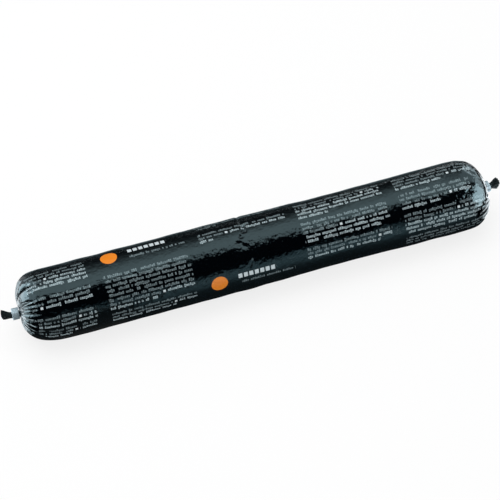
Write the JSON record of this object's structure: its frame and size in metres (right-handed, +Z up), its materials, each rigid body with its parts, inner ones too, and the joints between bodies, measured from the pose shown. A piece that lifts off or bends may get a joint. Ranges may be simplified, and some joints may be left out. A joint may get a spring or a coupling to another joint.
{
  "type": "caulk sausage pack",
  "caption": "Flexible foil pack of caulk lying on its side: a glossy black film tube, gathered into pleats at each end and closed there by a crimped wire clip.",
  "frame": {"origin": "on the floor, under the middle of the pack's overall box", "axes": "+X along the pack, +Z up from the pressed side that it rests on"},
  "size_m": [0.3515, 0.049, 0.0482],
  "materials": {
    "film": "glossy black film with small light grey print",
    "clip": "bare drawn wire, satin"
  },
  "bodies": {
    "root": {"film_pack": "film", "left_clip": "clip", "right_clip": "clip"}
  },
  "joints": []
}
